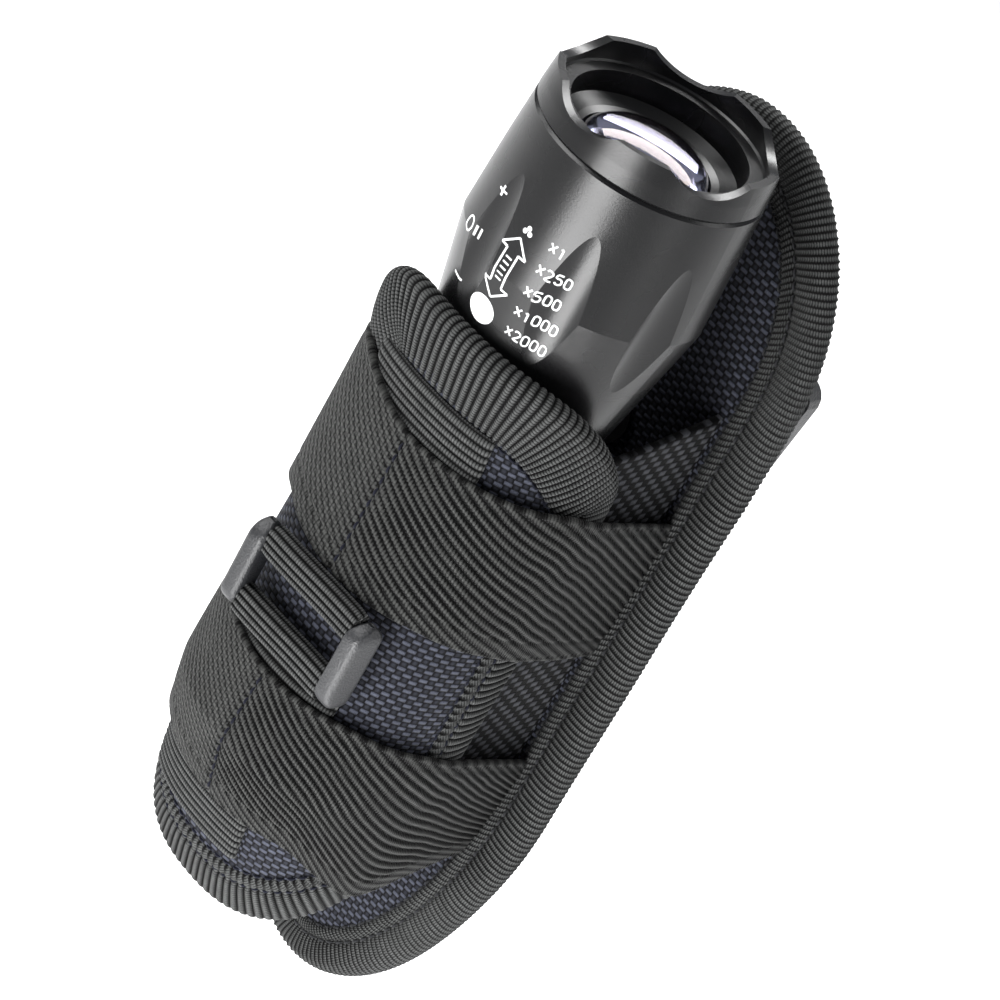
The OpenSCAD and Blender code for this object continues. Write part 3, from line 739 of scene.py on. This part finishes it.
def make_tongue_tape():
    """Ribbed binding folded over the tongue's edge, with its seams."""
    _, total = tongue_border(900)
    ribs = round(total / TAPE_PITCH)
    per = 8
    border, _ = tongue_border(ribs * per)
    lip = smooth((border[:, 2] + 62) / 12)
    narrow, rows = 8.9, 22
    widths = narrow + 1.7 * lip
    P, N = tongue_inward(border, widths, rows)
    along = unit(np.roll(border, -3, 0) - np.roll(border, 3, 0))
    off = -unit(np.cross(N[:, 0], along))
    c = np.linspace(0, 1, rows + 1)[None, :] * widths[:, None]
    # A second seam runs this far in everywhere but on the lip
    seam_in, none = 6.0, 50
    mid = np.where(lip[:, None] > 0.5, none, seam_in)
    rib = np.arange(ribs * per)[:, None] / per
    slant = np.clip((c - mid) / 0.4, 0, 1) * (c - mid) * 0.3
    ridge = np.abs(np.sin(math.pi * (rib + slant + 0.1 * wander(rib, c * 3, 11)))) ** 0.6
    crown = 0.35 * np.sin(np.clip(c / widths[:, None], 0, 1) * math.pi) + 0.35
    dip = 0.5 * groove(c - mid, 0.35) + 0.9 * groove(c - widths[:, None] - 0.05, 0.4)
    rise = crown - dip + 0.6 * (ridge - 0.6) + 0.15 * wander(rib * 1.5, c * 4, 12)
    front = (P + N * rise[..., None])[:, ::-1]
    arc = np.linspace(0, math.pi, 11)[1:-1][None, :, None]
    core = P[:, 0] - N[:, 0] * TONGUE_T / 2
    radius = TONGUE_T / 2 + 0.35 + 0.36 * (np.abs(np.sin(math.pi * rib)) ** 0.6 - 0.6)
    edge = core[:, None] + radius[..., None] * (np.cos(arc) * N[:, :1] + np.sin(arc) * off[:, None])
    inner_rows = np.arange(0, rows + 1, 3)
    back = P[:, inner_rows] - N[:, inner_rows] * (TONGUE_T + 0.25 + 0.2 * (ridge[:, inner_rows, None] - 0.6))
    loop = flare(np.concatenate([front, edge, back], 1))
    run = np.median(lengths(loop, 1), axis=0)
    u = np.arange(ribs * per + 1)[:, None] / per * TAPE_PITCH
    tape = Shape().grid(loop, spread(u, np.append(run, run[-1] + 3)[None, :]), wrap_u=True, wrap_v=True)
    tape.make("tongue_binding_tape", M_TAPE, slot="binding_tape", nodes=["tongue_binding"])
    seams = Shape()
    keep = lip < 0.5
    order = np.roll(np.arange(len(P)), -np.argmax(~keep))
    order = order[keep[order]]
    inner_seam = flare(P + N * 0.4)[order, round(seam_in / narrow * rows)]
    stitches(seams, inner_seam, N[order, 8], 2.0, 1.5, 0.24)
    stitches(seams, flare(P + N * 0.25)[:, -1], N[:, -1], 2.0, 1.5, 0.24)
    seams.make("tongue_binding_stitches", M_NAVY_THREAD, slot="binding_tape")


def make_tongue():
    """Padded front of the pouch, under its binding."""
    a = np.linspace(-0.93, 0.93, 70)[:, None]
    t = np.linspace(0, 1, 110)[None, :]
    z = lerp(lip_height(a) - 6, foot_height(a) + 1.5, t)
    face = tongue_point(a, z)
    swell = 0.2 * wander(face[..., 0], face[..., 2], 21)
    outer = tongue_point(a, z, -0.1) + unit(tongue_slope(face)) * swell[..., None]
    inner = tongue_point(a, z, TONGUE_T - 0.3)
    across = lengths(face, 0) - lengths(face, 0)[-1:] / 2
    pad = Shape().shell(flare(outer), flare(inner), spread(across, face[..., 2]))
    return pad.make("tongue_pad", M_NYLON, slot="ballistic_nylon", nodes=["front_tongue"])


# ---- Elastic bands ----

# Places round a band, from panel to panel, where the heights of its edges are given
BAND_KNOTS = -1.5, -1, -0.4, 0, 0.4, 0.8, 1, 1.5


def band_gap(u):
    """Room between the tongue and a band, which lies off the tape in front."""
    return lerp(0.6, 1.5, np.maximum(0, np.cos(math.pi / 2 * np.minimum(1, np.abs(u)))) ** 0.6)


def band_point(u, z):
    """Point on a band's inner face; u runs from -1 to 1 over the tongue, and to 1.5 at the panel."""
    off = band_gap(u)
    angle = np.clip(u, -1, 1) * math.pi / 2
    width, depth = tongue_w(z, -off), tongue_d(z, -off)
    x = width * signed_power(np.sin(angle), 2 / ROUND)
    on_tongue = np.stack([x, lerp(EDGE_Y, -depth, np.abs(np.cos(angle)) ** (2 / ROUND)), z], -1)
    t = np.clip((np.abs(u) - 1) * 2, 0, 1)
    x = np.sign(u) * lerp(width, np.interp(z, *ANCHOR_PROFILE.T) + off, t)
    beyond = np.stack([x, lerp(EDGE_Y, SEAM_Y, t), z], -1)
    return np.where((np.abs(u) <= 1)[..., None], on_tongue, beyond)


def band_base(top, bottom, columns, rows):
    """Evenly spaced grid on a band's inner face, and the length round it."""
    u = np.linspace(-1.5, 1.5, 420)[:, None]
    v = np.linspace(0, 1, rows)[None, :]
    z = lerp(np.interp(u, BAND_KNOTS, bottom), np.interp(u, BAND_KNOTS, top), v)
    fine = band_point(*np.broadcast_arrays(u, z))
    run = lengths(fine, 0)
    at = np.linspace(0, 1, columns)
    base = np.empty((columns, rows, 3))
    for j in range(rows):
        for k in range(3):
            base[:, j, k] = np.interp(at * run[-1, j], run[:, j], fine[:, j, k])
    # A stretched band cuts straight across the angle between pouch and panel
    for _ in range(60):
        base[1:-1] = (base[:-2] + 2 * base[1:-1] + base[2:]) / 4
    return base, run[-1].mean()


def cord_slant(u):
    """Rise of the cords at a distance round the pouch, as in the elastic's material."""
    lean = np.clip((u - LEAN_FROM) / (LEAN_TO - LEAN_FROM), 0, 1)
    beyond = (LEAN_TO - LEAN_FROM) / 2 * lean ** 2 + np.maximum(u - LEAN_TO, 0)
    return FRONT_LEAN * u + (SIDE_LEAN - FRONT_LEAN) * beyond


def make_band(name, top, bottom, columns, rows, seed, tight):
    """Band between two edges, given as heights at BAND_KNOTS; its cords lie closer by the factor tight."""
    base, total = band_base(top, bottom, columns, rows)
    du, dv = np.gradient(base, axis=0), np.gradient(base, axis=1)
    normal = unit(np.cross(dv, du))
    normal *= -np.sign(np.mean(normal[columns // 2, :, 1]))
    up = unit(dv)
    height = base[..., 2]
    span = lengths(base, 1)
    s = np.linspace(-0.5, 0.5, columns)[:, None] * total
    u = s * tight
    v = np.broadcast_to(np.linspace(-0.5, 0.5, rows) * span[:, -1].mean() * tight, height.shape)
    phase = (v + cord_slant(u)) / TWILL_STEP
    ridge = np.abs(np.sin(math.pi * (phase + 0.1 * wander(s * 4, height * 4, seed)))) ** 0.7
    near_top, near_low = span[:, -1:] - span, span
    roll = groove(near_top - 0.5, 0.5) + groove(near_low - 0.4, 0.4)
    nick = 0.3 * groove(near_top - 1.5, 0.3) + groove(near_low - 3.6, 0.35)
    strength = lerp(0.14, 0.62, smooth((s + 3) / 8)) * (1 - np.clip(roll, 0, 1))
    strength = strength * smooth((near_low - 2.9) / 1.2) * smooth((near_top - 0.9) / 1.2)
    rise = 1.2 + strength * (ridge - 0.5) - 0.1 * roll - 0.3 * nick - 0.45 * groove(s, 0.45)
    rise = rise + 0.35 * wander(s, height, seed + 1) + 0.09 * roll * np.sin(2 * math.pi * s / 0.9)
    outer = base + normal * rise[..., None]
    arc = np.linspace(0, math.pi, 6)[1:-1][None, :, None]

    def cap(j, sign):
        """Rounded edge that joins the faces along one row."""
        centre = (outer[:, j] + base[:, j]) / 2
        half = np.linalg.norm(outer[:, j] - base[:, j], axis=-1)[:, None, None] / 2
        out = np.cos(arc) * normal[:, j, None] + np.sin(arc) * sign * up[:, j, None]
        return centre[:, None] + half * out

    pick = np.unique(np.round(np.linspace(0, rows - 1, 9)).astype(int))[::-1]
    loop = np.concatenate([outer, cap(-1, 1), base[:, pick], cap(0, -1)[:, ::-1]], 1)
    top_v, low_v = np.repeat(v[:, -1:], 4, 1), np.repeat(v[:, :1], 5, 1)
    uv = spread(u, np.concatenate([v, top_v, v[:, pick], low_v], 1))
    # The ends close only with an even number of points in a ring
    if loop.shape[1] % 2:
        loop, uv = np.delete(loop, rows + 5, 1), np.delete(uv, rows + 5, 1)
    band = Shape().tube(loop, uv)
    band.make(name + "_band", M_ELASTIC, slot="elastic_webbing", nodes=[name])
    seams = Shape()
    middle = columns // 2
    stitches(seams, (base + normal)[middle, 3:-3], normal[middle, 3:-3], 2.1, 1.6, 0.25)
    seams.make(name + "_stitches", M_NAVY_THREAD, slot="elastic_webbing")


# ---- Webbing, ring, gussets and strap ----

# Middle of the ring, and heights of its rods
RING_Y, RING_Z = -24.0, -95.5
WIRE_HIGH, WIRE_LOW = -89.3, -101.5


def add_fold(shape, wire_z):
    """Flattened loop of webbing round one wire of the ring."""
    centre, half = (RING_Y, wire_z), 10.6
    turn = np.linspace(0, 2 * math.pi, 150, endpoint=False)
    y = RING_Y - 1.75 * signed_power(np.cos(turn), 0.6)
    z = wire_z + 2.75 * signed_power(np.sin(turn), 0.7)
    ribs, per = 12, 10
    loop, _ = resample(np.stack([y, z], -1), ribs * per, closed=True)
    out = np.roll(loop, -1, 0) - np.roll(loop, 1, 0)
    out = unit(np.stack([out[:, 1], -out[:, 0]], -1))
    out *= np.sign(np.sum(out * (loop - centre), -1, keepdims=True))
    bead = 0.42 * (np.abs(np.sin(math.pi * np.arange(len(loop)) / per)) ** 0.6 - 0.5)
    loop = loop + out * bead[:, None]
    x = np.linspace(-half, half, 36)[:, None]
    pinch = 1 - 0.06 * groove(np.abs(x) - half, 0.8)
    y, z = (centre[k] + (loop[None, :, k] - centre[k]) * pinch for k in (0, 1))
    uv = spread(x, np.arange(len(loop) + 1)[None, :] / per * WEB_PITCH)
    shape.tube(spread(x, y + 0.15 * np.sin(x / 4), z), uv)


def make_webbing(name, z_high, z_low, wire_z):
    """Strap on the tongue between two heights, with its fold round one wire of the ring."""
    half = 12.2
    x = np.linspace(-half, half, 40)[:, None]
    z = np.linspace(z_high, z_low, 150)[None, :]
    # Towards the foot the strap veers to the left
    across = x - 4 * smooth((-108 - z) / 32)
    a = np.arcsin(signed_power(np.clip(across / tongue_w(z, -0.4), -1, 1), ROUND / 2)) * 2 / math.pi
    base = tongue_point(a, np.broadcast_to(z, a.shape), -0.45)
    ridge = np.abs(np.sin(math.pi * z / WEB_PITCH)) ** 0.6
    rise = 0.75 + 0.45 * (ridge - 0.4) - 0.5 * groove(np.abs(x) - half, 0.5)
    rise = rise * (1 - 0.7 * groove(z - z_high, 1.2))
    outer = base + unit(tongue_slope(base)) * rise[..., None]
    shape = Shape().shell(flare(outer), flare(base), spread(x, z))
    add_fold(shape, wire_z)
    shape.make(name + "_strap", M_WEBBING, slot="strap_webbing", nodes=[name])


def make_gusset(name, side):
    """Side wall between the tongue and the panel."""
    depth = 28
    t = np.linspace(0, 1, 30)[:, None]
    v = np.linspace(0, 1, 70)[None, :]
    z = lerp(lerp(-53.0, -48.0, t), lerp(-139.0, -150.0, t), v)

    def wall(inset):
        x = lerp(tongue_w(z) - TONGUE_T - 0.4 - inset, np.interp(z, *ANCHOR_PROFILE.T) - 0.6 - inset, t)
        return spread(side * (x + 0.1 * wander(t * depth, z, 31)), lerp(0.0, SEAM_Y, t), z)

    cloth = Shape().shell(wall(0.0), wall(1.1), spread(t * depth, z))
    cloth.make(name + "_cloth", M_SIDE, slot="ballistic_nylon", nodes=[name])


def make_bottom_strap():
    """Strap from the tongue's foot back to the panel, under the tail."""
    spine = np.array([[-9, -151.5], [0, -153.8], [8, -155.8], [17, -157.6], [28.05, -159.0]])
    rows, pitch = 110, 0.8
    line, total = resample(spine, rows)
    run = np.linspace(0, total, rows)
    x = np.linspace(-12, 12, 30)[:, None]
    slope = unit(np.gradient(line, axis=0))
    out = np.stack([slope[:, 1], -slope[:, 0]], -1)
    out *= np.sign(-out[:, 1:2])
    ridge = 0.2 * (np.abs(np.sin(math.pi * run / pitch)) ** 0.7 - 0.5)

    def layer(lift):
        y, z = (line + out * lift).T
        return spread(x, y[None, :], z[None, :])

    uv = spread(x, run[None, :] * WEB_PITCH / pitch)
    strap = Shape().shell(layer((0.9 + ridge)[:, None]), layer(-0.8), uv)
    strap.make("bottom_strap_web", M_LINING, slot="strap_webbing", nodes=["bottom_strap"])


def make_ring():
    """Moulded ring: two rounded side plates joined by two rods."""
    shape = Shape()
    t = np.sin(np.linspace(-math.pi / 2, math.pi / 2, 40))[:, None]
    turn = np.linspace(0, 2 * math.pi, 40, endpoint=False)[None, :]
    end = np.clip((np.abs(t) - 0.6) / 0.4, 0, 1)
    front = -2.75 + 2.3 * end ** 2
    back = 2.7 - 1.2 * np.clip((np.abs(t) - 0.75) / 0.25, 0, 1) ** 2
    close = np.sqrt(1 - (0.985 * t) ** 16)
    half_x = 1.85 * (1 - 0.35 * end ** 3) * close
    half_y = (back - front) / 2 * close
    y = RING_Y + (front + back) / 2 + half_y * signed_power(np.sin(turn), 0.5)
    for side in (-1, 1):
        x = side * 12.65 + half_x * signed_power(np.cos(turn), 0.5)
        # The plate leans in towards its front
        x = x - side * 0.12 * (RING_Y + 2.7 - y)
        shape.tube(spread(x, y, RING_Z + 8.5 * t))
    turn = np.linspace(0, 2 * math.pi, 24, endpoint=False)[None, :]
    x = np.linspace(-12, 12, 9)[:, None]
    for wire_z in (WIRE_HIGH, WIRE_LOW):
        shape.tube(spread(x, RING_Y + 1.2 * np.cos(turn), wire_z + 1.2 * np.sin(turn)))
    shape.make("webbing_ring_moulding", M_PLASTIC, slot="moulded_plastic", nodes=["webbing_ring"])


def make_lens():
    """Clear dome with its flange, turned round the axis."""
    a = np.linspace(0, math.pi / 2, 30)
    dome = np.stack([10.6 * np.sin(a), -9.4 + 4.7 * np.cos(a)], -1)
    flange = [(13.6, -9.42), (13.8, -9.6), (13.8, -10.8), (13.6, -11), (8, -11), (0, -11)]
    r, z = np.vstack([dome, flange]).T[:, None]
    turn = np.linspace(0, 2 * math.pi, 128, endpoint=False)[:, None]
    shape = Shape().grid(spread(r * np.cos(turn), r * np.sin(turn), z), wrap_u=True)
    shape.make("lens_dome", lens_material(), body="head", slot="lens_glass", nodes=["lens"],
               sharp=40, weld=True)


# ---- CAD nodes keep their shape and take a finished material ----

def dress(node, material):
    """Puts the material in all of a CAD node's slots."""
    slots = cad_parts[node].data.materials
    for k in range(len(slots)):
        slots[k] = material
    if not slots:
        slots.append(material)


FINISH = {
    "bezel_ring": M_ALUMINIUM,
    "head_sleeve": M_ALUMINIUM,
    "body_tube": M_ALUMINIUM,
    "tail_cap": M_ALUMINIUM,
    "neck_stop_ring": M_ALUMINIUM,
    "lens_retainer": M_RETAINER,
    "lens_o_ring": M_RUBBER,
    "neck_o_rings": M_RUBBER,
    "body_o_ring": M_RUBBER,
    "switch_boot": M_RUBBER,
    "led_pill": metal_satin("turned_brass", (0.45, 0.3, 0.11), 0.3, 1.0, 0.00001),
    "led_board": plastic("board_dark", (0.06, 0.06, 0.065), 0.4),
    "led_emitter": plastic("emitter_phosphor", (0.4, 0.32, 0.08), 0.35),
    "driver_board": plastic("board_green", (0.02, 0.16, 0.06), 0.4),
    "driver_spring": metal_satin("gold_spring", (0.7, 0.5, 0.2), 0.25, 1.0, 0.00001),
    "tail_spring": metal_satin("spring_steel", (0.5, 0.5, 0.52), 0.28, 1.0, 0.00001),
    "switch_retaining_ring": metal_satin("ring_brass", (0.45, 0.3, 0.11), 0.3, 1.0, 0.00001),
    "battery_cell": plastic("cell_wrap", (0.03, 0.09, 0.3), 0.3),
    "battery_sleeve": plastic("natural_plastic", (0.6, 0.6, 0.58), 0.45),
    "switch_housing": plastic("black_plastic", (0.03, 0.03, 0.03), 0.45),
    "switch_plunger": plastic("red_plastic", (0.5, 0.06, 0.04), 0.4),
    "swivel_base": M_PLASTIC,
    "swivel_washer": M_PLASTIC,
    "swivel_rivet": metal_satin("rivet_steel", (0.12, 0.12, 0.125), 0.35, 1.0, 0.00001),
    "belt_clip": M_PLASTIC,
}
for node, material in FINISH.items():
    dress(node, material)


# ---- White marks printed on the head ----

# Pen strokes of each glyph, 2.4 wide and 5 high
STROKES = {
    "x": [[(0, 0.6), (2.4, 4.4)], [(0, 4.4), (2.4, 0.6)]],
    "0": [[(0.5, 0), (0, 1), (0, 4), (0.5, 5), (1.9, 5), (2.4, 4), (2.4, 1), (1.9, 0), (0.5, 0)]],
    "1": [[(0.5, 4), (1.4, 5), (1.4, 0)]],
    "2": [[(0, 4.1), (0.5, 5), (1.9, 5), (2.4, 4.1), (2.4, 3.3), (0, 0), (2.5, 0)]],
    "5": [[(2.3, 5), (0.2, 5), (0, 2.9), (1.7, 3.1), (2.4, 2.2), (2.4, 0.9), (1.7, 0), (0.5, 0), (0, 0.8)]],
}
GLYPH_WIDE, GLYPH_HIGH, GLYPH_STEP = 0.42, 0.34, 1.5
PRINT_LIFT = 0.05


def make_marks():
    """Thin solids of paint that lie half sunk in the sleeve."""
    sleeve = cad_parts["head_sleeve"]
    corners = [v.co for v in sleeve.data.vertices]
    tree = BVHTree.FromPolygons(corners, [p.vertices for p in sleeve.data.polygons])
    shape = Shape()

    def on_head(s, z, lift):
        """Point over the sleeve at an arc distance from the front line and a height."""
        angle = s / 20.0
        spot = Vector(to_row((0, 0, z)))
        ray = Vector((math.sin(angle), -math.cos(angle), 0))
        hit, _, _, _ = tree.ray_cast(spot + ray * 0.05, -ray)
        radius = (hit - spot).length * 1000 + lift
        return [ray.x * radius, ray.y * radius, z]

    def ribbon(path, width):
        """Line of paint along a path of arc distances and heights."""
        path = np.array(path, float)
        path, _ = resample(path, max(2, int(lengths(path)[-1] / 0.35) + 1))
        along = unit(np.gradient(path, axis=0))
        side = np.stack([-along[:, 1], along[:, 0]], -1)
        rows = []
        for offset, lift in ((-0.5, 1), (0.5, 1), (0.5, -1), (-0.5, -1)):
            rows.append([on_head(*p, lift * PRINT_LIFT) for p in path + side * width * offset])
        shape.tube(np.array(rows).transpose(1, 0, 2))

    def disc(s, z, half_wide, half_high, steps):
        """Solid ellipse of paint."""
        a = np.linspace(0, math.pi, steps)
        x, rise = s - half_wide * np.cos(a), half_high * np.sin(a)
        low_edge, high_edge = np.stack([x, z - rise], -1), np.stack([x, z + rise], -1)
        flat = lerp(low_edge[None], high_edge[None], np.linspace(0, 1, 7)[:, None, None])
        outer, inner = (np.array([[on_head(*p, lift) for p in row] for row in flat])
                        for lift in (PRINT_LIFT, -PRINT_LIFT))
        shape.shell(outer, inner, flat)

    # Double-headed arrow in outline, with bars on its shaft
    top, foot, shaft, barb, mid = -21.4, -32.4, 1.2, 2.6, 0.1
    neck_top, neck_foot = top - 2.4, foot + 2.4
    right = [(0, top), (barb, neck_top), (shaft, neck_top), (shaft, neck_foot), (barb, neck_foot), (0, foot)]
    left = [(-s, z) for s, z in right[-2::-1]]
    outline = [(mid + s, z) for s, z in right + left]
    for start, end in zip(outline, outline[1:]):
        ribbon([start, end], 0.33)
    for k in range(5):
        ribbon([(mid - 0.6, -25 - 0.95 * k), (mid + 0.6, -25 - 0.95 * k)], 0.28)
    # Dot below it, and a small three-lobed mark above
    disc(-0.6, -35.3, 2.7, 2.3, 15)
    for s, z in ((0.1, -20.0), (1.1, -20.0), (0.6, -19.3)):
        disc(s, z, 0.42, 0.42, 9)
    # Scale of plain numbers on the right
    for row, label in enumerate(("x1", "x250", "x500", "x1000", "x2000")):
        middle = -19.3 - 3.95 * row
        for place, glyph in enumerate(label):
            pen = 4.8 + GLYPH_STEP * place
            for stroke in STROKES[glyph]:
                ribbon([(pen + s * GLYPH_WIDE, middle + (z - 2.5) * GLYPH_HIGH) for s, z in stroke], 0.3)
    # Plain signs on the left: a plus, a ring with two strokes, and a minus
    ribbon([(-8.6, -18.7), (-6.8, -18.7)], 0.34)
    ribbon([(-7.7, -19.6), (-7.7, -17.8)], 0.34)
    turn = np.linspace(0, 2 * math.pi, 17)
    ribbon([(-10.4 + 1.0 * math.cos(t), -27 + 1.2 * math.sin(t)) for t in turn], 0.32)
    ribbon([(-8.7, -27.9), (-8.7, -26.1)], 0.32)
    ribbon([(-7.9, -27.9), (-7.9, -26.1)], 0.32)
    ribbon([(-9.8, -35.2), (-7.2, -35.2)], 0.36)
    shape.make("head_marks", M_PAINT, body="head")


# ---- Floor ----

FLOOR_DROP = 0.07


def make_floor():
    """Plain pale floor a little below the object."""
    net = Net("floor", 0.8, specular_ior_level=0.1)
    for socket in ("Base Color", "Emission Color"):
        net.shader.inputs[socket].default_value = (0.85, 0.85, 0.85, 1)
    net.shader.inputs["Emission Strength"].default_value = 0.3
    half, level = 6.0, cad_box[0][2] - FLOOR_DROP
    corners = [(half * x, half * y, level) for x, y in ((-1, -1), (1, -1), (1, 1), (-1, 1))]
    mesh = bpy.data.meshes.new("floor")
    mesh.from_pydata(corners, [], [(0, 1, 2, 3)])
    mesh.materials.append(net.material)
    floor = bpy.data.objects.new("floor", mesh)
    bpy.context.collection.objects.link(floor)


# ---- The whole object ----

make_floor()
make_back_tape()
make_back_panel()
make_tongue_tape()
make_tongue()
make_band("upper_elastic",
          (-66, -59, -55, -59.8, -59.2, -59, -61.6, -69.5),
          (-96, -90, -84, -86.5, -85.5, -87.2, -89.6, -97.5), 400, 84, 41, 1.0)
make_band("lower_elastic",
          (-122, -112, -106, -108.5, -107.6, -110, -113.2, -123),
          (-145, -138, -132.5, -135, -133.6, -142.2, -141, -145.5), 400, 104, 51, 1.16)
make_webbing("webbing_upper", -50.8, -86, WIRE_HIGH)
make_webbing("webbing_lower", -105.5, -144.5, WIRE_LOW)
make_gusset("gusset_left", -1)
make_gusset("gusset_right", 1)
make_bottom_strap()
make_ring()
make_lens()
make_marks()
